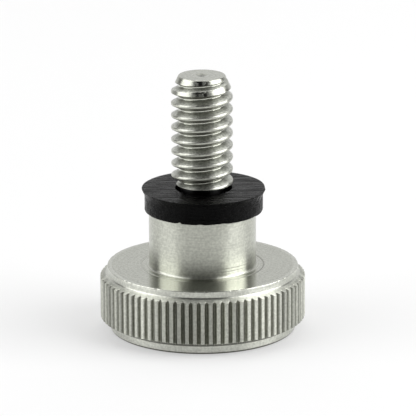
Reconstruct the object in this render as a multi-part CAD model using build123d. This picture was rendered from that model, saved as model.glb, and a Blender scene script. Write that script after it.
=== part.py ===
from build123d import *
import math
import os

os.makedirs("parts", exist_ok=True)

# Knurled thumb screw standing on its head, thread up, with a loose rubber washer on its boss.
# Millimetres, +Z up along the screw's axis, origin at the centre of the head's underside.

# Head: a knurled grip between two plain rims, joined by chamfers
head_diameter = 21.2
head_height = 6.75
top_rim_diameter = 19.7
top_rim_height = 0.7
top_chamfer_height = 0.4
bottom_rim_diameter = 19.2
bottom_rim_height = 0.87
bottom_chamfer_height = 0.53

# Knurl: straight grooves along the axis
knurl_groove_count = 81
knurl_groove_depth = 0.32
knurl_land_share = 0.42
knurl_start_angle = -90

# Boss that the washer rests on
boss_diameter = 11.05
boss_height = 6.0

# Relief neck between the boss and the thread
neck_diameter = 4.5
neck_length = 2.77

# Right-hand thread, 20 turns to the inch, with blunt crests and sharp roots
thread_diameter = 6.35
thread_length = 11.38
thread_pitch = 1.27
thread_flank_angle = 60
thread_crest_width = 0.3
thread_start_angle = 280
thread_lead_in_share = 0.55
thread_outrun_share = 0.12

# Tip: a steep taper down to a little over the thread's root, with a shallow turned dimple
tip_diameter = 4.82
tip_taper_angle = 25
dimple_diameter = 1.35
dimple_depth = 0.2

# Rubber washer, flared at its upper edge, resting a little off centre within its slack
washer_diameter = 12.2
washer_thickness = 2.3
washer_bore = 5.9
washer_lip_diameter = 12.8
washer_lip_height = 0.65
washer_shift_x = 0.15
washer_shift_y = -0.27

# One overrun serves every cut that has to pass the face it leaves
cut_overrun = 1.0

# Levels along the axis and the thread's depth follow from the sizes above
boss_top = head_height + boss_height
thread_bottom = boss_top + neck_length
tip_level = thread_bottom + thread_length
flank_run = math.tan(math.radians(thread_flank_angle / 2))
thread_depth = (thread_pitch - thread_crest_width) / (2 * flank_run)


def turned_head():
    # Head, boss and neck in one outline, drawn from the axis at the underside up the outside
    bottom_rim = bottom_rim_diameter / 2
    top_rim = top_rim_diameter / 2
    grip = head_diameter / 2
    boss = boss_diameter / 2
    neck = neck_diameter / 2
    grip_bottom = bottom_rim_height + bottom_chamfer_height
    grip_top = head_height - top_rim_height - top_chamfer_height
    section = make_face(
        Polyline(
            (0, 0),
            (bottom_rim, 0),
            (bottom_rim, bottom_rim_height),
            (grip, grip_bottom),
            (grip, grip_top),
            (top_rim, head_height - top_rim_height),
            (top_rim, head_height),
            (boss, head_height),
            (boss, boss_top),
            (neck, boss_top),
            (neck, thread_bottom),
            (0, thread_bottom),
            close=True,
        )
    )
    return revolve(Plane.XZ * section, Axis.Z)


def knurl_prism():
    # A straight prism of the knurl's section: lands at full diameter, parted by narrow grooves
    grip = head_diameter / 2
    pitch_angle = 360 / knurl_groove_count
    mouth = math.radians(pitch_angle) * grip * (1 - knurl_land_share)
    flare = mouth / (2 * knurl_groove_depth)
    outer = grip + cut_overrun
    outer_half = mouth / 2 + cut_overrun * flare
    groove = make_face(
        Polyline(
            (grip - knurl_groove_depth, 0),
            (outer, -outer_half),
            (outer, outer_half),
            close=True,
        )
    )
    first_groove = Rot(0, 0, knurl_start_angle + pitch_angle / 2)
    grooves = [first_groove * place * groove for place in PolarLocations(0, knurl_groove_count)]
    return extrude(Circle(grip) - grooves, thread_bottom)


def thread_turns():
    # One turn of the groove, its section in a plane through the axis, repeated past both ends
    stud = thread_diameter / 2
    root = stud - thread_depth
    outrun = thread_pitch * thread_outrun_share
    mouth_half = (thread_depth + outrun) * flank_run
    section = make_face(
        Polyline(
            (root, 0),
            (stud + outrun, -mouth_half),
            (stud + outrun, mouth_half),
            close=True,
        )
    )
    turn = sweep(Plane.XZ * section, path=Helix(thread_pitch, thread_pitch, root), is_frenet=True)
    lead_in = thread_pitch * thread_lead_in_share
    turn_count = math.ceil((thread_length + 2 * lead_in) / thread_pitch)
    first_turn = Pos(0, 0, thread_bottom - lead_in) * Rot(0, 0, thread_start_angle)
    return [first_turn * Pos(0, 0, step * thread_pitch) * turn for step in range(turn_count)]


def tip_envelope():
    # Wider than the rod except at the end, where its cone and dimple shape the tip
    reach = thread_diameter / 2 + cut_overrun
    tip = tip_diameter / 2
    taper_length = (reach - tip) / math.tan(math.radians(tip_taper_angle))
    section = make_face(
        Polyline(
            (0, boss_top),
            (reach, boss_top),
            (reach, tip_level - taper_length),
            (tip, tip_level),
            (dimple_diameter / 2, tip_level),
            (0, tip_level - dimple_depth),
            close=True,
        )
    )
    return revolve(Plane.XZ * section, Axis.Z)


def threaded_stud():
    on_axis = (Align.CENTER, Align.CENTER, Align.MIN)
    rod = Pos(0, 0, thread_bottom) * Cylinder(thread_diameter / 2, thread_length, align=on_axis)
    return (rod - thread_turns()) & tip_envelope()


def knurled_thumb_screw():
    return (turned_head() & knurl_prism()) + threaded_stud()


def rubber_washer():
    bore = washer_bore / 2
    side = washer_diameter / 2
    lip = washer_lip_diameter / 2
    section = make_face(
        Polyline(
            (bore, 0),
            (side, 0),
            (side, washer_thickness - washer_lip_height),
            (lip, washer_thickness),
            (bore, washer_thickness),
            close=True,
        )
    )
    ring = revolve(Plane.XZ * section, Axis.Z)
    return Pos(washer_shift_x, washer_shift_y, boss_top) * ring


export_step(knurled_thumb_screw(), "parts/knurled_thumb_screw.step")
export_step(rubber_washer(), "parts/rubber_washer.step")
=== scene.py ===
import math

import bpy
from mathutils import Matrix, Vector, noise


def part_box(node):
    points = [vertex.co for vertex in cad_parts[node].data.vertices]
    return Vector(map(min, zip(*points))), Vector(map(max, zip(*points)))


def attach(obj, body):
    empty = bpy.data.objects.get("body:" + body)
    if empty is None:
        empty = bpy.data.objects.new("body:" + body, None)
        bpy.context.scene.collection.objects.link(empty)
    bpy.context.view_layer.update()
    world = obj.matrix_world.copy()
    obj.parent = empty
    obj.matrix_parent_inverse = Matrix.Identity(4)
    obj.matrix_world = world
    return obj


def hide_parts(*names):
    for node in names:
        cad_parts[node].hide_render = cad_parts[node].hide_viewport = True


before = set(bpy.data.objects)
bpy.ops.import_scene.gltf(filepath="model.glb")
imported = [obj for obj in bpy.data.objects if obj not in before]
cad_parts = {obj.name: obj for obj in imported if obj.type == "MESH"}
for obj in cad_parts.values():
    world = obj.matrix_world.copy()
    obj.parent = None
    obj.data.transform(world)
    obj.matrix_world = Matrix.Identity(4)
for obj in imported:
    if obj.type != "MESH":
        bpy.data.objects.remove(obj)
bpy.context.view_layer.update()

mm = 0.001
near = 0.001                 # a point within these millimetres of a place is taken to be there
merged = 0.0005              # points within these millimetres become one
hold = 0.03                  # a point this far past a rounded corner keeps the next face flat
fullTurn = 2 * math.pi
screwLow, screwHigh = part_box("knurled_thumb_screw")
washerLow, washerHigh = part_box("rubber_washer")
print("frame loaded")


# plain modelling helpers


def clearSelection():
    if bpy.context.mode != "OBJECT":
        bpy.ops.object.mode_set(mode="OBJECT")
    bpy.ops.object.select_all(action="DESELECT")


def startOutline(name, radius, level):
    # a tiny ring merged to one point, from which the outline is pulled
    clearSelection()
    bpy.ops.mesh.primitive_circle_add(vertices=3, radius=mm)
    piece = bpy.context.object
    piece.name = name
    piece.data.name = name
    bpy.ops.object.mode_set(mode="EDIT")
    bpy.ops.mesh.select_all(action="SELECT")
    bpy.ops.mesh.merge(type="CENTER")
    bpy.ops.transform.translate(value=(radius * mm, 0, level * mm))
    return piece


def pullOutline(points):
    # each point is pulled out of the one before, in the plane through the axis
    for (radius, level), (nextRadius, nextLevel) in zip(points, points[1:]):
        step = ((nextRadius - radius) * mm, 0, (nextLevel - level) * mm)
        bpy.ops.mesh.extrude_region_move(TRANSFORM_OT_translate={"value": step})


def selectPoints(piece, wanted):
    # wanted takes a point's place in millimetres
    bpy.ops.mesh.select_all(action="DESELECT")
    bpy.ops.object.mode_set(mode="OBJECT")
    for vertex in piece.data.vertices:
        vertex.select = bool(wanted(vertex.co / mm))
    bpy.ops.object.mode_set(mode="EDIT")


def roundCorner(piece, radius, level, size, segments):
    bpy.ops.mesh.select_mode(type="VERT")
    selectPoints(piece, lambda p: math.hypot(p.x - radius, p.z - level) < near)
    bpy.ops.mesh.bevel(offset=size * mm, segments=segments, affect="VERTICES")


def divideEdge(piece, start, end, cuts):
    # more points along the straight between two corners of an outline
    low, high = sorted((start, end), key=lambda c: c[1])
    run = Vector((high[0] - low[0], high[1] - low[1]))

    def onEdge(p):
        along = Vector((p.x - low[0], p.z - low[1]))
        share = along.dot(run) / run.length_squared
        return -near < share < 1 + near and (along - run * share).length < 2 * near

    selectPoints(piece, onEdge)
    bpy.ops.mesh.subdivide(number_cuts=cuts)


def spinOutline(steps):
    bpy.ops.mesh.select_all(action="SELECT")
    bpy.ops.mesh.spin(steps=steps, angle=fullTurn, center=(0, 0, 0), axis=(0, 0, 1))
    closeMesh()


def closeMesh():
    bpy.ops.mesh.select_all(action="SELECT")
    bpy.ops.mesh.remove_doubles(threshold=merged * mm)
    bpy.ops.mesh.normals_make_consistent(inside=False)
    bpy.ops.object.mode_set(mode="OBJECT")


def applyBoolean(piece, tool, operation):
    # the tool body is used up
    clearSelection()
    piece.select_set(True)
    bpy.context.view_layer.objects.active = piece
    cut = piece.modifiers.new(operation.lower(), "BOOLEAN")
    cut.operation = operation
    cut.solver = "EXACT"
    cut.object = tool
    bpy.ops.object.modifier_apply(modifier=cut.name)
    bpy.data.objects.remove(tool, do_unlink=True)
    # slivers along the cut are merged away
    bpy.ops.object.mode_set(mode="EDIT")
    bpy.ops.mesh.select_all(action="SELECT")
    bpy.ops.mesh.dissolve_degenerate(threshold=near * mm)
    closeMesh()


def finishPiece(piece, node, angle):
    clearSelection()
    piece.select_set(True)
    bpy.context.view_layer.objects.active = piece
    bpy.ops.object.shade_smooth_by_angle(angle=math.radians(angle))
    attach(piece, "root")
    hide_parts(node)
    print("piece", piece.name, len(piece.data.polygons), "faces")


# knurled head, boss and neck, turned from one outline, in millimetres

headValues = {
    "gripRadius": screwHigh.x / mm,
    "headHeight": 6.75,
    "topRimRadius": 9.85,
    "topRimHeight": 0.7,
    "topChamferHeight": 0.4,
    "bottomRimRadius": 9.6,
    "bottomRimHeight": 0.87,
    "bottomChamferHeight": 0.53,
    "bossRadius": 5.525,
    "bossTop": washerLow.z / mm,
    "neckRadius": 2.25,
    "neckTop": 15.56,
    "edgeBreak": 0.05,
    "footBreak": 0.28,
    "bossFoot": 0.26,
    "rimCorner": 0.09,
    "settle": 0.12,          # from a first holding point beside the worn rim edge to a second
    "ringRadius": 6.32,      # tool mark turned into the head's top face
    "ringHalf": 0.13,
    "ringFloor": 0.03,
    "ringDepth": 0.05,
}

knurlValues = {
    "grooveCount": 81,
    "columns": 16,           # mesh columns to one groove
    "landShare": 0.42,
    "depth": 0.32,
    "floorShare": 0.14,      # width of the groove's flat floor
    "floorRounding": 0.3,
    "blend": 0.03,
    "landMargin": 0.06,      # share of the depth that still counts as land
}


def softMin(a, b, blend):
    mix = max(blend - abs(a - b), 0) / blend
    return min(a, b) - mix * mix * blend / 4


def grooveRadius(angle):
    v = knurlValues
    turn = (angle + math.pi / 2) / fullTurn * v["grooveCount"]
    away = abs(turn % 1 - 0.5)                    # 0 in the middle of a groove
    mouth = (1 - v["landShare"]) / 2
    wall = max(0, (mouth - away) / (mouth - v["floorShare"] / 2))
    return headValues["gripRadius"] - v["depth"] * softMin(wall, 1, v["floorRounding"])


def pressKnurl(piece):
    v = headValues
    bottom = v["bottomRimHeight"] + near
    top = v["headHeight"] - v["topRimHeight"] - near
    for vertex in piece.data.vertices:
        p = vertex.co / mm
        radius = math.hypot(p.x, p.y)
        if radius < v["bottomRimRadius"] or not bottom < p.z < top:
            continue
        pressed = softMin(radius, grooveRadius(math.atan2(p.y, p.x)), knurlValues["blend"])
        vertex.co.x *= pressed / radius
        vertex.co.y *= pressed / radius


def markGrooves(piece):
    # how deep each point lies in a groove, from 0 on the lands to nearly 1 on the floor
    v, k = headValues, knurlValues
    bottom, top = v["bottomRimHeight"], v["headHeight"] - v["topRimHeight"]
    depths = piece.data.attributes.new("grooveDepth", "FLOAT", "POINT")
    for vertex, depth in zip(piece.data.vertices, depths.data):
        p = vertex.co / mm
        radius = math.hypot(p.x, p.y)
        chamferLow = v["bottomRimRadius"] + (p.z - bottom) / v["bottomChamferHeight"] * (
            v["gripRadius"] - v["bottomRimRadius"])
        chamferHigh = v["topRimRadius"] + (top - p.z) / v["topChamferHeight"] * (
            v["gripRadius"] - v["topRimRadius"])
        full = min(v["gripRadius"], chamferLow, chamferHigh)
        onGrip = bottom < p.z < top and radius > v["bottomRimRadius"]
        depth.value = max(0, (full - radius) / k["depth"] - k["landMargin"]) if onGrip else 0


def buildHead():
    v = headValues
    top = v["headHeight"]
    edge = v["edgeBreak"] + hold
    gripBottom = (v["gripRadius"], v["bottomRimHeight"] + v["bottomChamferHeight"])
    gripTop = (v["gripRadius"], top - v["topRimHeight"] - v["topChamferHeight"])
    rimTop = (v["topRimRadius"], top - v["topRimHeight"])
    rimBottom = (v["bottomRimRadius"], v["bottomRimHeight"])
    outline = [
        (0, 0),
        (v["bottomRimRadius"] - v["footBreak"] - hold, 0),
        (v["bottomRimRadius"], 0),
        (v["bottomRimRadius"], v["footBreak"] + hold),
        rimBottom,
        gripBottom,
        gripTop,
        rimTop,
        (v["topRimRadius"], rimTop[1] + v["rimCorner"] + hold),
        (v["topRimRadius"], top - edge - v["settle"]),
        (v["topRimRadius"], top - edge),
        (v["topRimRadius"], top),
        (v["topRimRadius"] - edge, top),
        (v["topRimRadius"] - edge - v["settle"], top),
        (v["ringRadius"] + v["ringHalf"] + hold, top),
        (v["ringRadius"] + v["ringHalf"], top),
        (v["ringRadius"] + v["ringFloor"], top - v["ringDepth"]),
        (v["ringRadius"] - v["ringFloor"], top - v["ringDepth"]),
        (v["ringRadius"] - v["ringHalf"], top),
        (v["ringRadius"] - v["ringHalf"] - hold, top),
        (v["bossRadius"] + v["bossFoot"] + hold, top),
        (v["bossRadius"], top),
        (v["bossRadius"], top + v["bossFoot"] + hold),
        (v["bossRadius"], v["bossTop"] - edge),
        (v["bossRadius"], v["bossTop"]),
        (v["neckRadius"], v["bossTop"]),
        (v["neckRadius"], v["neckTop"]),
        (0, v["neckTop"]),
    ]
    head = startOutline("knurledScrew", *outline[0])
    pullOutline(outline)
    divideEdge(head, rimBottom, gripBottom, cuts=9)
    divideEdge(head, gripTop, rimTop, cuts=6)
    divideEdge(head, gripBottom, gripTop, cuts=3)
    roundCorner(head, v["bottomRimRadius"], 0, v["footBreak"], segments=4)
    roundCorner(head, v["topRimRadius"], top, v["edgeBreak"], segments=2)
    roundCorner(head, v["bossRadius"], top, v["bossFoot"], segments=4)
    roundCorner(head, *rimTop, v["rimCorner"], segments=3)
    roundCorner(head, v["bossRadius"], v["bossTop"], v["edgeBreak"], segments=2)
    spinOutline(knurlValues["grooveCount"] * knurlValues["columns"])
    pressKnurl(head)
    return head


# threaded stud, one pitch of its outline wound up the axis

studValues = {
    "radius": 3.175,
    "pitch": 1.27,
    "crestWidth": 0.28,
    "flankAngle": 54,
    "crestAtRight": 18.28,   # a crest's level on the +X side
    "crestRounding": 0.09,
    "rootWidth": 0.17,
    "rootRounding": 0.04,
    "turnSteps": 96,
    "bottom": 15.52,
    "tipLevel": screwHigh.z / mm,
    "tipRadius": 2.41,
    "tipTaper": 25,          # degrees from the axis
    "dimpleRadius": 0.675,
    "dimpleDepth": 0.2,
    "tipRounding": 0.07,
    "dimpleRounding": 0.1,
    "overrun": 0.2,          # thread wound past the tip before it is cut
    "margin": 1.0,           # of the cutting shape round the thread
    "cutTolerance": 0.0001,
}


def buildStud():
    v = studValues
    pitch = v["pitch"]
    flankHeight = (pitch - v["crestWidth"] - v["rootWidth"]) / 2
    root = v["radius"] - flankHeight / math.tan(math.radians(v["flankAngle"] / 2))
    turnsBelow = math.ceil((v["crestAtRight"] - v["bottom"]) / pitch) + 1
    first = v["crestAtRight"] - turnsBelow * pitch
    turns = math.ceil((v["tipLevel"] - first) / pitch) + 1
    half = v["crestWidth"] / 2
    lowCorner = (v["radius"], first + half)
    rootLow = (root, first + (pitch - v["rootWidth"]) / 2)
    rootHigh = (root, first + (pitch + v["rootWidth"]) / 2)
    highCorner = (v["radius"], first + pitch - half)
    flank = Vector(rootLow) - Vector(lowCorner)
    beside = flank * ((v["crestRounding"] + hold) / flank.length)
    above = flank * ((v["rootRounding"] + hold) / flank.length)
    outline = [
        (v["radius"], first),
        lowCorner,
        (lowCorner[0] + beside.x, lowCorner[1] + beside.y),
        (rootLow[0] - above.x, rootLow[1] - above.y),
        rootLow,
        rootHigh,
        (rootHigh[0] - above.x, rootHigh[1] + above.y),
        (highCorner[0] + beside.x, highCorner[1] - beside.y),
        highCorner,
        (v["radius"], first + pitch),
    ]
    stud = startOutline("stud", *outline[0])
    pullOutline(outline)
    roundCorner(stud, *lowCorner, v["crestRounding"], segments=3)
    roundCorner(stud, *rootLow, v["rootRounding"], segments=2)
    roundCorner(stud, *rootHigh, v["rootRounding"], segments=2)
    roundCorner(stud, *highCorner, v["crestRounding"], segments=3)
    bpy.ops.object.mode_set(mode="OBJECT")
    wind = stud.modifiers.new("wind", "SCREW")
    wind.axis = "Z"
    wind.angle = fullTurn
    wind.screw_offset = pitch * mm
    wind.iterations = turns
    wind.steps = v["turnSteps"]
    wind.render_steps = v["turnSteps"]
    bpy.ops.object.modifier_apply(modifier=wind.name)
    bpy.ops.object.mode_set(mode="EDIT")
    for level, upward in ((v["bottom"], True), (v["tipLevel"] + v["overrun"], False)):
        bpy.ops.mesh.select_all(action="SELECT")
        bpy.ops.mesh.remove_doubles(threshold=merged * mm)
        bpy.ops.mesh.bisect(
            plane_co=(0, 0, level * mm),
            plane_no=(0, 0, 1),
            use_fill=True,
            clear_inner=upward,
            clear_outer=not upward,
            threshold=v["cutTolerance"] * mm,
        )
    closeMesh()
    applyBoolean(stud, buildTipEnvelope(), "INTERSECT")
    return stud


def buildTipEnvelope():
    # wider than the thread, with the end's cone and dimple
    v = studValues
    wide = v["radius"] + v["margin"]
    low = v["bottom"] - v["margin"]
    tip = v["tipLevel"]
    taperLength = (wide - v["tipRadius"]) / math.tan(math.radians(v["tipTaper"]))
    beside = (v["tipRounding"] + hold) / taperLength
    outline = [
        (0, low),
        (wide, low),
        (wide, tip - taperLength),
        (v["tipRadius"] + (wide - v["tipRadius"]) * beside, tip - v["tipRounding"] - hold),
        (v["tipRadius"], tip),
        (v["tipRadius"] - v["tipRounding"] - hold, tip),
        (v["dimpleRadius"] + v["dimpleRounding"] + hold, tip),
        (v["dimpleRadius"], tip),
        (0, tip - v["dimpleDepth"]),
    ]
    envelope = startOutline("tipEnvelope", *outline[0])
    pullOutline(outline)
    roundCorner(envelope, v["tipRadius"], tip, v["tipRounding"], segments=3)
    roundCorner(envelope, v["dimpleRadius"], tip, v["dimpleRounding"], segments=3)
    spinOutline(v["turnSteps"])
    return envelope


# knocks from use

wearValues = {
    "rimDepth": 0.09,        # dents along the top rim's edge
    "rimSpacing": 0.45,
    "crestDepth": 0.035,     # and along the thread's crests
    "crestSpacing": 0.5,
    "level": 0.2,            # noise below this leaves no mark
}


def wearEdges(piece):
    v, h = wearValues, headValues
    rimInside = h["topRimRadius"] - h["edgeBreak"] - hold / 2
    rimBelow = h["headHeight"] - h["edgeBreak"] - hold / 2
    crestInside = studValues["radius"] - studValues["crestRounding"]
    for vertex in piece.data.vertices:
        p = vertex.co / mm
        radius = math.hypot(p.x, p.y)
        onRim = rimInside < radius < h["topRimRadius"] + hold and rimBelow < p.z < h["headHeight"] + hold
        onCrest = crestInside < radius < h["bossRadius"] and p.z > h["neckTop"]
        if not (onRim or onCrest):
            continue
        spacing = v["rimSpacing"] if onRim else v["crestSpacing"]
        depth = v["rimDepth"] if onRim else v["crestDepth"]
        knock = depth * max(0, noise.noise(p / spacing) - v["level"])
        vertex.co.x *= 1 - knock / radius
        vertex.co.y *= 1 - knock / radius
        if onRim:
            vertex.co.z -= knock * mm


screw = buildHead()
stud = buildStud()
applyBoolean(screw, stud, "UNION")
markGrooves(screw)
wearEdges(screw)
finishPiece(screw, "knurled_thumb_screw", angle=32)


# rubber washer with a flared lip

washerValues = {
    "centre": ((washerLow.x + washerHigh.x) / 2 / mm, (washerLow.y + washerHigh.y) / 2 / mm),
    "sideRadius": 6.1,
    "lipRadius": (washerHigh.x - washerLow.x) / 2 / mm,
    "lipHeight": 0.65,
    "bore": 2.95,
    "bottom": washerLow.z / mm,
    "top": washerHigh.z / mm,
    "footBreak": 0.08,
    "flareRounding": 0.25,
    "edgeBreak": 0.05,
    "steps": 720,
    "spurAngle": -7,         # degrees from +X
    "spurSize": 0.1,
    "spurWidth": 4,
    "spurSpread": 40,        # the lip is drawn back this far on each side of the spur
    "nickAngle": -114,
    "nickDepth": 0.14,
    "nickWidth": 2.5,
    "ragged": 0.12,
    "raggedSpacing": 0.6,
}


def bell(offset, width):
    return max(0, 1 - (offset / width) ** 2) ** 2


def tearWasher(piece):
    # a spur of flash on the lip, a torn nick and a ragged edge below
    v = washerValues
    lipInside, lipBelow = v["lipRadius"] - 2 * v["edgeBreak"], v["top"] - 2 * v["edgeBreak"]
    footInside, footAbove = v["sideRadius"] - 2 * v["footBreak"], v["bottom"] + 2 * v["footBreak"]
    for vertex in piece.data.vertices:
        p = vertex.co / mm
        radius = math.hypot(p.x, p.y)
        angle = math.degrees(math.atan2(p.y, p.x))
        if radius > lipInside and p.z > lipBelow:
            fromSpur = angle - v["spurAngle"]
            back = v["spurSize"] * (bell(fromSpur, v["spurSpread"]) - bell(fromSpur, v["spurWidth"]))
            vertex.co.x *= 1 - back / radius
            vertex.co.y *= 1 - back / radius
        if radius > footInside and p.z < footAbove:
            rag = v["ragged"] * max(0, noise.noise(p / v["raggedSpacing"]))
            nick = v["nickDepth"] * bell(angle - v["nickAngle"], v["nickWidth"])
            vertex.co.z += (rag + nick) * mm


def buildWasher():
    v = washerValues
    outline = [
        (v["bore"], v["bottom"]),
        (v["sideRadius"], v["bottom"]),
        (v["sideRadius"], v["top"] - v["lipHeight"]),
        (v["lipRadius"], v["top"]),
        (v["lipRadius"] - v["edgeBreak"] - hold, v["top"]),
        (v["bore"], v["top"]),
        (v["bore"], v["bottom"]),
    ]
    washer = startOutline("rubberWasher", *outline[0])
    pullOutline(outline)
    divideEdge(washer, outline[1], outline[2], cuts=3)
    divideEdge(washer, outline[2], outline[3], cuts=3)
    roundCorner(washer, *outline[1], v["footBreak"], segments=3)
    roundCorner(washer, *outline[2], v["flareRounding"], segments=3)
    roundCorner(washer, *outline[3], v["edgeBreak"], segments=2)
    spinOutline(v["steps"])
    tearWasher(washer)
    for vertex in washer.data.vertices:
        vertex.co.x += v["centre"][0] * mm
        vertex.co.y += v["centre"][1] * mm
    return washer


washer = buildWasher()
finishPiece(washer, "rubber_washer", angle=40)


# material helpers

noiseSpan = (0.3, 0.7)       # most of a noise texture's values lie here


def startMaterial(name):
    material = bpy.data.materials.new(name)
    material.use_nodes = True
    nodes = material.node_tree.nodes
    return material, nodes, material.node_tree.links, nodes["Principled BSDF"]


def setOrLink(tree, socket, value):
    if isinstance(value, (int, float, tuple)):
        socket.default_value = value
    else:
        tree.links.new(value, socket)


def addMath(tree, operation, first, second=None):
    node = tree.nodes.new("ShaderNodeMath")
    node.operation = operation
    setOrLink(tree, node.inputs[0], first)
    if second is not None:
        setOrLink(tree, node.inputs[1], second)
    return node.outputs[0]


def times(tree, first, second):
    return addMath(tree, "MULTIPLY", first, second)


def larger(tree, first, second):
    return addMath(tree, "MAXIMUM", first, second)


def addRamp(tree, value, span, result=(0, 1)):
    node = tree.nodes.new("ShaderNodeMapRange")
    node.interpolation_type = "SMOOTHSTEP"
    for name, number in zip(("From Min", "From Max", "To Min", "To Max"), (*span, *result)):
        node.inputs[name].default_value = number
    tree.links.new(value, node.inputs["Value"])
    return node.outputs["Result"]


def between(tree, value, span, soft):
    low, high = span
    return times(tree, addRamp(tree, value, (low - soft, low + soft)),
                 addRamp(tree, value, (high - soft, high + soft), (1, 0)))


def shift(base, span):
    return base + span[0], base + span[1]


def addMix(tree, mask, first, second):
    node = tree.nodes.new("ShaderNodeMix")
    node.data_type = "RGBA"
    tree.links.new(mask, node.inputs["Factor"])
    setOrLink(tree, node.inputs["A"], first)
    setOrLink(tree, node.inputs["B"], second)
    return node.outputs["Result"]


def addShade(tree, mask, colour, shade):
    # the colour times a grey shade, where the mask is on
    result = addMix(tree, mask, colour, shade)
    result.node.blend_type = "MULTIPLY"
    return result


def addNoise(tree, vector, scale, detail=2.0, roughness=0.5):
    node = tree.nodes.new("ShaderNodeTexNoise")
    setOrLink(tree, node.inputs["Scale"], scale)
    node.inputs["Detail"].default_value = detail
    node.inputs["Roughness"].default_value = roughness
    tree.links.new(vector, node.inputs["Vector"])
    return node.outputs["Fac"]


def stretch(tree, place, scales):
    # object coordinates at so many noise cells to the millimetre each way
    node = tree.nodes.new("ShaderNodeMapping")
    node.inputs["Scale"].default_value = [scale / mm for scale in scales]
    tree.links.new(place.outputs["Object"], node.inputs["Vector"])
    return node.outputs[0]


def addBump(tree, height, depth, below=None):
    bump = tree.nodes.new("ShaderNodeBump")
    bump.inputs["Strength"].default_value = 1
    bump.inputs["Distance"].default_value = depth * mm
    tree.links.new(height, bump.inputs["Height"])
    if below:
        tree.links.new(below, bump.inputs["Normal"])
    return bump.outputs[0]


def makeTurnedPlaces():
    # a place on a turned piece in millimetres, fine lines that run round the axis, and a grain
    group = bpy.data.node_groups.new("turnedPlaces", "ShaderNodeTree")
    for name in ("Right", "Back", "Level", "Radius", "Lines", "Grain"):
        group.interface.new_socket(name, in_out="OUTPUT", socket_type="NodeSocketFloat")
    for name in ("Line Scale", "Line Fade", "Grain Scale"):
        group.interface.new_socket(name, in_out="INPUT", socket_type="NodeSocketFloat")
    source = group.nodes.new("NodeGroupInput").outputs
    result = group.nodes.new("NodeGroupOutput").inputs
    place = group.nodes.new("ShaderNodeTexCoord")
    scaled = group.nodes.new("ShaderNodeVectorMath")
    scaled.operation = "SCALE"
    scaled.inputs["Scale"].default_value = 1 / mm
    group.links.new(place.outputs["Object"], scaled.inputs[0])
    axes = group.nodes.new("ShaderNodeSeparateXYZ")
    group.links.new(scaled.outputs[0], axes.inputs[0])
    right, back, level = axes.outputs
    squares = addMath(group, "ADD", times(group, right, right), times(group, back, back))
    radius = addMath(group, "SQRT", squares)
    course = group.nodes.new("ShaderNodeCombineXYZ")
    outwards = times(group, addMath(group, "ADD", radius, level), source["Line Scale"])
    group.links.new(outwards, course.inputs[0])
    group.links.new(times(group, right, source["Line Fade"]), course.inputs[1])
    group.links.new(times(group, back, source["Line Fade"]), course.inputs[2])
    lines = addNoise(group, course.outputs[0], 1.0, detail=3.0, roughness=0.6)
    grain = addNoise(group, scaled.outputs[0], source["Grain Scale"], detail=3.0)
    for socket, value in zip(result, (right, back, level, radius, lines, grain)):
        group.links.new(value, socket)
    return group


turnedPlaces = makeTurnedPlaces()


def placeTurned(tree, lineScale, lineFade, grainScale):
    node = tree.nodes.new("ShaderNodeGroup")
    node.node_tree = turnedPlaces
    node.inputs["Line Scale"].default_value = lineScale
    node.inputs["Line Fade"].default_value = lineFade
    node.inputs["Grain Scale"].default_value = grainScale
    return node.outputs


# turned metal of the screw

metalValues = {
    "tone": (0.525, 0.535, 0.475, 1),
    "rimHighlightTone": (0.61, 0.62, 0.56, 1),        # plain rims above and below the knurl, made lighter as a painted highlight for the floor they mirror
    # painted shade: the knurl's grooves are darker the deeper they go
    "grooveShadeTone": (0.31, 0.315, 0.27, 1),
    "crestTone": (0.61, 0.62, 0.57, 1),      # thread flanks, from the crest to the root; darker towards the root as painted shade
    "rootShadeTone": (0.46, 0.47, 0.42, 1),
    "undersideShadeTone": (0.12, 0.12, 0.1, 1),       # painted shade on thread flanks and bevels that face down
    "paintedShadeTone": (0.03, 0.03, 0.03, 1),     # painted shade on the neck and painted dark reflection in the tip's dimple
    "dirtTone": (0.2, 0.2, 0.17, 1),         # scratches and tool mark
    "dingTone": (0.06, 0.06, 0.055, 1),      # knocks at the tip's front
    "threadShade": 0.7,                      # share of the painted underside shade on the thread
    "dimpleShade": 0.55,                     # share of the painted shade in the dimple
    "ringDirt": (0.1, 0.6),                  # share of the dirt, from the tool mark's left to its right
    "landShades": (0.78, 1.1),               # each land of the knurl has a shade of its own
    "lineShades": (0.9, 1.08),
    "grainShades": (0.72, 1.2),
    "gripGrain": 0.45,                       # share of the grain on the knurl
    "plainGrain": 0.5,                       # and on the plain faces
    "roughness": (0.29, 0.39),               # between the finest and the coarsest lines
    "threadCoarse": 0.08,                    # added on the thread
    "gripCoarse": 0.1,                       # added on the knurl
    "rootPolish": 0.2,                       # taken off at the thread's root
    "facePolish": 0.14,                      # taken off on the head's top face
    "anisotropy": 0.7,
    "anisotropyTurn": 0.25,
    "lineScale": 10.0,                       # scales are per millimetre, depths in millimetres
    "lineFade": 0.5,
    "lineDepth": 0.003,
    "grainScale": 4.0,
    "grainDepth": 0.003,
    "strokeScale": (10.0, 10.0, 0.3),        # strokes up the knurl's lands
    "strokeDepth": 0.012,
    "dingScale": 3.2,
    "dingDepth": 4,                          # times the grain's depth
}

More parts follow.
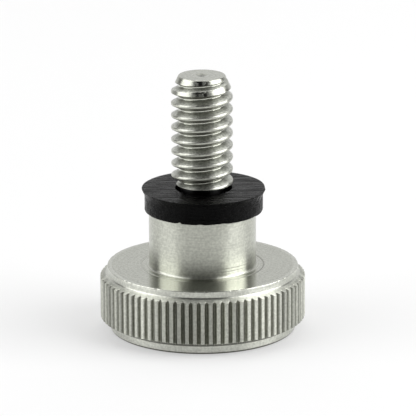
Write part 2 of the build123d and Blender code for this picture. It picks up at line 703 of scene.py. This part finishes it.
# where each mark lies on the metal: levels and radii in millimetres, facing from -1 down to 1 up
markValues = {
    "gripFrom": (0.4, 0.55),                 # past the bottom rim's radius
    "gripSoft": 0.1,
    "rimFrom": (-0.25, -0.1),                # about the bottom rim's radius
    "grooveFrom": (0.05, 0.4),               # share of the groove's depth
    "threadFrom": (-0.1, 0),                 # about the thread's lower end
    "neckInset": (0.06, 0.05),               # above the boss and below the thread
    "neckSoft": 0.04,
    "flankSpan": (2.45, 3.1),
    "rootSpan": (2.4, 2.46),
    "upperFacing": (0.55, 0.75),
    "lowerFacing": (-0.98, -0.3),
    "lowerSoft": 0.06,
    "tipFrom": (-0.3, -0.2),                 # about the tip's level
    "dimpleCore": 0.1,
    "facetFacing": (0.3, 0.55),              # the taper's cut through the first turns
    "facetSoft": 0.05,
    "facetFront": (-1.4, -1.7),
    "facetAcross": (-0.75, 0.6),
    "facetFade": 0.25,
    "dingFrom": (0.42, 0.56),
    "scratchLevels": (7.4, 7.72),            # on the boss, to the right
    "scratchWidth": (-0.03, 0.03),
    "scratchSoft": 0.025,
    "scratchAcross": (2.0, 4.3),
    "scratchFade": 0.7,
    "scratchFront": (-2.5, -3.2),
    "ringSoft": 0.04,
    "ringBelow": 0.018,                      # the tool mark is dirty from here down
    "ringFade": 0.012,
    "ringAcross": (-3, 4),
    "faceSpan": (-0.03, 0.03),               # about the head's top face
    "faceSoft": 0.02,
}


def turnedMetal():
    v, m, h, s = metalValues, markValues, headValues, studValues
    material, nodes, links, shader = startMaterial("turnedMetal")
    tree = material.node_tree
    where = placeTurned(tree, v["lineScale"], v["lineFade"], v["grainScale"])
    right, back, level, radius, lines, grain = where
    place = nodes.new("ShaderNodeTexCoord")
    facing = nodes.new("ShaderNodeSeparateXYZ")
    links.new(place.outputs["Normal"], facing.inputs[0])
    upward = facing.outputs["Z"]
    # masks
    gripSpan = (h["bottomRimHeight"], h["headHeight"] - h["topRimHeight"])
    grip = times(tree, between(tree, level, gripSpan, m["gripSoft"]),
                 addRamp(tree, radius, shift(h["bottomRimRadius"], m["gripFrom"])))
    depth = nodes.new("ShaderNodeAttribute")
    depth.attribute_name = "grooveDepth"
    groove = addRamp(tree, depth.outputs["Fac"], m["grooveFrom"])
    thread = addRamp(tree, level, shift(s["bottom"], m["threadFrom"]))
    # the neck between the boss and the thread, which takes painted shade
    neckSpan = (h["bossTop"] + m["neckInset"][0], s["bottom"] - m["neckInset"][1])
    neck = between(tree, level, neckSpan, m["neckSoft"])
    tipSpan = shift(s["tipLevel"], m["tipFrom"])
    upper = times(tree, addRamp(tree, upward, m["upperFacing"]), addRamp(tree, level, tipSpan, (1, 0)))
    # painted shade on faces that turn downwards, weaker on the thread
    lower = times(tree, between(tree, upward, m["lowerFacing"], m["lowerSoft"]),
                  addRamp(tree, thread, (0, 1), (1, v["threadShade"])))
    dimple = times(tree, addRamp(tree, level, tipSpan),
                   addRamp(tree, radius, (m["dimpleCore"], s["dimpleRadius"]), (v["dimpleShade"], 0)))
    wound = times(tree, thread, upper)
    coarse = larger(tree, grip, wound)
    grainy = larger(tree, larger(tree, times(tree, grip, v["gripGrain"]), v["plainGrain"]), wound)
    # knocks on the tip's front
    facet = times(tree, between(tree, upward, m["facetFacing"], m["facetSoft"]),
                  addRamp(tree, back, m["facetFront"]))
    facet = times(tree, facet, between(tree, right, m["facetAcross"], m["facetFade"]))
    knocks = addNoise(tree, place.outputs["Object"], v["dingScale"] / mm, roughness=0.6)
    ding = times(tree, times(tree, facet, thread), addRamp(tree, knocks, m["dingFrom"]))
    # a number for each land of the knurl
    turn = addMath(tree, "ADD", addMath(tree, "ARCTAN2", back, right), math.pi / 2)
    land = addMath(tree, "ROUND", times(tree, turn, knurlValues["grooveCount"] / fullTurn))
    chance = nodes.new("ShaderNodeTexWhiteNoise")
    chance.noise_dimensions = "1D"
    links.new(land, chance.inputs["W"])
    # colour
    # painted shade: the thread's flanks darken from the crest down to the root
    flank = addMix(tree, addRamp(tree, radius, m["flankSpan"]), v["rootShadeTone"], v["crestTone"])
    # painted highlight: the plain rims get a lighter tone than the rest of the metal
    rim = addRamp(tree, radius, shift(h["bottomRimRadius"], m["rimFrom"]))
    colour = addMix(tree, addMath(tree, "SUBTRACT", rim, grip), v["tone"], v["rimHighlightTone"])
    # painted shade deep in the knurl's grooves
    colour = addMix(tree, groove, colour, v["grooveShadeTone"])
    colour = addMix(tree, wound, colour, flank)
    # painted shade under downward-facing faces
    colour = addMix(tree, lower, colour, v["undersideShadeTone"])
    colour = addMix(tree, ding, colour, v["dingTone"])
    # painted shade: the neck and the tip's dimple go nearly black
    colour = addMix(tree, larger(tree, neck, dimple), colour, v["paintedShadeTone"])
    colour = addShade(tree, grip, colour, addRamp(tree, chance.outputs["Value"], (0, 1), v["landShades"]))
    colour = addShade(tree, grainy, colour, addRamp(tree, grain, noiseSpan, v["grainShades"]))
    smooth = addMath(tree, "SUBTRACT", 1, coarse)
    colour = addShade(tree, smooth, colour, addRamp(tree, lines, noiseSpan, v["lineShades"]))
    scratched = times(tree, between(tree, right, m["scratchAcross"], m["scratchFade"]),
                      addRamp(tree, back, m["scratchFront"]))
    for scratchLevel in m["scratchLevels"]:
        scratch = between(tree, level, shift(scratchLevel, m["scratchWidth"]), m["scratchSoft"])
        colour = addMix(tree, times(tree, scratch, scratched), colour, v["dirtTone"])
    ringSpan = shift(h["ringRadius"], (-h["ringHalf"], h["ringHalf"]))
    ringLevels = (h["headHeight"] - 2 * h["ringDepth"], h["headHeight"] - m["ringBelow"])
    ring = times(tree, between(tree, radius, ringSpan, m["ringSoft"]),
                 between(tree, level, ringLevels, m["ringFade"]))
    ring = times(tree, ring, addRamp(tree, right, m["ringAcross"], v["ringDirt"]))
    colour = addMix(tree, ring, colour, v["dirtTone"])
    links.new(colour, shader.inputs["Base Color"])
    # roughness
    rough = addRamp(tree, lines, noiseSpan, v["roughness"])
    rough = addMath(tree, "ADD", rough, times(tree, wound, v["threadCoarse"]))
    rough = addMath(tree, "ADD", rough, times(tree, grip, v["gripCoarse"]))
    root = times(tree, thread, addRamp(tree, radius, m["rootSpan"], (1, 0)))
    topFace = between(tree, level, shift(h["headHeight"], m["faceSpan"]), m["faceSoft"])
    bright = addMath(tree, "ADD", times(tree, root, v["rootPolish"]), times(tree, topFace, v["facePolish"]))
    links.new(addMath(tree, "SUBTRACT", rough, bright), shader.inputs["Roughness"])
    # fine relief
    relief = addBump(tree, lines, v["lineDepth"])
    knocked = addMath(tree, "SUBTRACT", times(tree, grain, coarse), times(tree, ding, v["dingDepth"]))
    relief = addBump(tree, knocked, v["grainDepth"], relief)
    strokes = addNoise(tree, stretch(tree, place, v["strokeScale"]), 1.0)
    relief = addBump(tree, times(tree, strokes, grip), v["strokeDepth"], relief)
    links.new(relief, shader.inputs["Normal"])
    shader.inputs["Metallic"].default_value = 1
    shader.inputs["Anisotropic"].default_value = v["anisotropy"]
    shader.inputs["Anisotropic Rotation"].default_value = v["anisotropyTurn"]
    return material


# rubber of the washer

rubberValues = {
    "tones": ((0.0005, 0.0005, 0.0005, 1), (0.004, 0.004, 0.004, 1)),
    "toneSpan": (0.5, 0.75),
    "roughness": (0.1, 0.42),
    "roughSpan": (0.35, 0.65),
    "specular": 0.06,
    "streakScale": (0.3, 1.7, 2.0),          # per millimetre across, inwards and up
    "streakShare": 0.75,                     # the rest of the wear is specks
    "streakDepth": 0.25,
    "speckScale": 7.0,
}


def blackRubber():
    v = rubberValues
    material, nodes, links, shader = startMaterial("blackRubber")
    tree = material.node_tree
    place = nodes.new("ShaderNodeTexCoord")
    streaks = addNoise(tree, stretch(tree, place, v["streakScale"]), 1.0, detail=4.0, roughness=0.65)
    specks = addNoise(tree, place.outputs["Object"], v["speckScale"] / mm, detail=3.0, roughness=0.6)
    worn = addMath(tree, "ADD", times(tree, streaks, v["streakShare"]),
                   times(tree, specks, 1 - v["streakShare"]))
    links.new(addMix(tree, addRamp(tree, worn, v["toneSpan"]), *v["tones"]), shader.inputs["Base Color"])
    links.new(addRamp(tree, worn, v["roughSpan"], v["roughness"]), shader.inputs["Roughness"])
    links.new(addBump(tree, worn, v["streakDepth"]), shader.inputs["Normal"])
    shader.inputs["Specular IOR Level"].default_value = v["specular"]
    return material


for piece, material in ((screw, turnedMetal()), (washer, blackRubber())):
    piece.data.materials.clear()
    piece.data.materials.append(material)
print("materials set")


# floor, light and camera

stageValues = {
    "floorSize": 4,
    "floorTone": (0.8, 0.8, 0.8, 1),
    "whiteFloor": (0.76, 0.76, 0.76, 1),     # as the camera and the metal see it
    "whiteShare": 0.42,                      # of plain white in that
    "panelDistance": 0.7,
    "darkSide": 0.055,                       # room before the object
    "backdrop": 0.78,                        # white wall behind it
    "backdropFrom": (0.45, 0.85),
}

# degrees from the camera's side to the right, degrees up, metres
panelValues = {
    "sideRight": {"azimuth": 80, "elevation": 33, "width": 0.65, "height": 0.8, "radiance": 4.0},
    "sideLeft": {"azimuth": -80, "elevation": 32, "width": 0.65, "height": 0.85, "radiance": 2.45},
    "topRight": {"azimuth": 149, "elevation": 54, "width": 0.35, "height": 0.35, "radiance": 1.7},
    "topLeft": {"azimuth": -149, "elevation": 54, "width": 0.35, "height": 0.35, "radiance": 1.55},
    "topBack": {"azimuth": 180, "elevation": 72, "width": 0.3, "height": 0.25, "radiance": 2.5},
}


def buildFloor():
    v = stageValues
    clearSelection()
    bpy.ops.mesh.primitive_plane_add(size=v["floorSize"])
    floor = bpy.context.object
    floor.name = "floor"
    material, nodes, links, shader = startMaterial("paleFloor")
    shader.inputs["Base Color"].default_value = v["floorTone"]
    shader.inputs["Roughness"].default_value = 1
    shader.inputs["Specular IOR Level"].default_value = 0
    rays = nodes.new("ShaderNodeLightPath")
    pale = nodes.new("ShaderNodeBsdfDiffuse")
    pale.inputs["Color"].default_value = v["whiteFloor"]
    white = nodes.new("ShaderNodeEmission")
    seen = nodes.new("ShaderNodeMixShader")
    seen.inputs["Fac"].default_value = v["whiteShare"]
    links.new(pale.outputs[0], seen.inputs[1])
    links.new(white.outputs[0], seen.inputs[2])
    direct = larger(material.node_tree, rays.outputs["Is Camera Ray"], rays.outputs["Is Glossy Ray"])
    either = nodes.new("ShaderNodeMixShader")
    links.new(direct, either.inputs["Fac"])
    links.new(shader.outputs[0], either.inputs[1])
    links.new(seen.outputs[0], either.inputs[2])
    links.new(either.outputs[0], nodes["Material Output"].inputs["Surface"])
    floor.data.materials.append(material)


def addPanel(name, azimuth, elevation, width, height, radiance):
    turn, rise = math.radians(azimuth), math.radians(elevation)
    away = Vector((math.sin(turn) * math.cos(rise), -math.cos(turn) * math.cos(rise), math.sin(rise)))
    clearSelection()
    bpy.ops.object.light_add(type="AREA", location=away * stageValues["panelDistance"])
    panel = bpy.context.object
    panel.name = name
    panel.rotation_euler = away.to_track_quat("Z", "Y").to_euler()
    panel.data.shape = "RECTANGLE"
    panel.data.size = width
    panel.data.size_y = height
    panel.data.energy = radiance * math.pi * width * height
    panel.visible_camera = False


def lightWorld():
    v = stageValues
    world = bpy.data.worlds.new("studio")
    bpy.context.scene.world = world
    world.use_nodes = True
    tree = world.node_tree
    place = tree.nodes.new("ShaderNodeTexCoord")
    axes = tree.nodes.new("ShaderNodeSeparateXYZ")
    tree.links.new(place.outputs["Generated"], axes.inputs[0])
    room = addRamp(tree, axes.outputs["Y"], v["backdropFrom"], (v["darkSide"], v["backdrop"]))
    rays = tree.nodes.new("ShaderNodeLightPath")
    colour = larger(tree, room, rays.outputs["Is Camera Ray"])
    tree.links.new(colour, tree.nodes["Background"].inputs["Color"])


# fitted to the object's outline in the photograph, lengths in millimetres and angles in radians
cameraValues = {
    "target": 13,            # level on the axis that the view is fitted to
    "distance": 442.34,
    "elevation": 0.283,
    "roll": -0.0042,
    "focalPixels": 4291.3,
    "framePixels": 416,
    "sideways": 0.584,
    "upwards": -0.23,
    "sensor": 36,
    "clip": (0.01, 20),      # metres
}


def addCamera():
    v = cameraValues
    elevation = v["elevation"]
    up = Vector((0, math.sin(elevation), math.cos(elevation)))
    back = Vector((0, -math.cos(elevation), math.sin(elevation)))
    place = Vector((v["sideways"], 0, v["target"])) + up * v["upwards"] + back * v["distance"]
    clearSelection()
    bpy.ops.object.camera_add(location=place * mm)
    camera = bpy.context.object
    tilt = Matrix.Rotation(math.pi / 2 - elevation, 3, "X") @ Matrix.Rotation(v["roll"], 3, "Z")
    camera.rotation_euler = tilt.to_euler()
    camera.data.sensor_width = v["sensor"]
    camera.data.lens = v["focalPixels"] / v["framePixels"] * v["sensor"]
    camera.data.clip_start, camera.data.clip_end = v["clip"]
    bpy.context.scene.camera = camera


buildFloor()
for name, panel in panelValues.items():
    addPanel(name, **panel)
lightWorld()
addCamera()
bpy.context.scene.view_settings.view_transform = "Standard"
print("stage set")
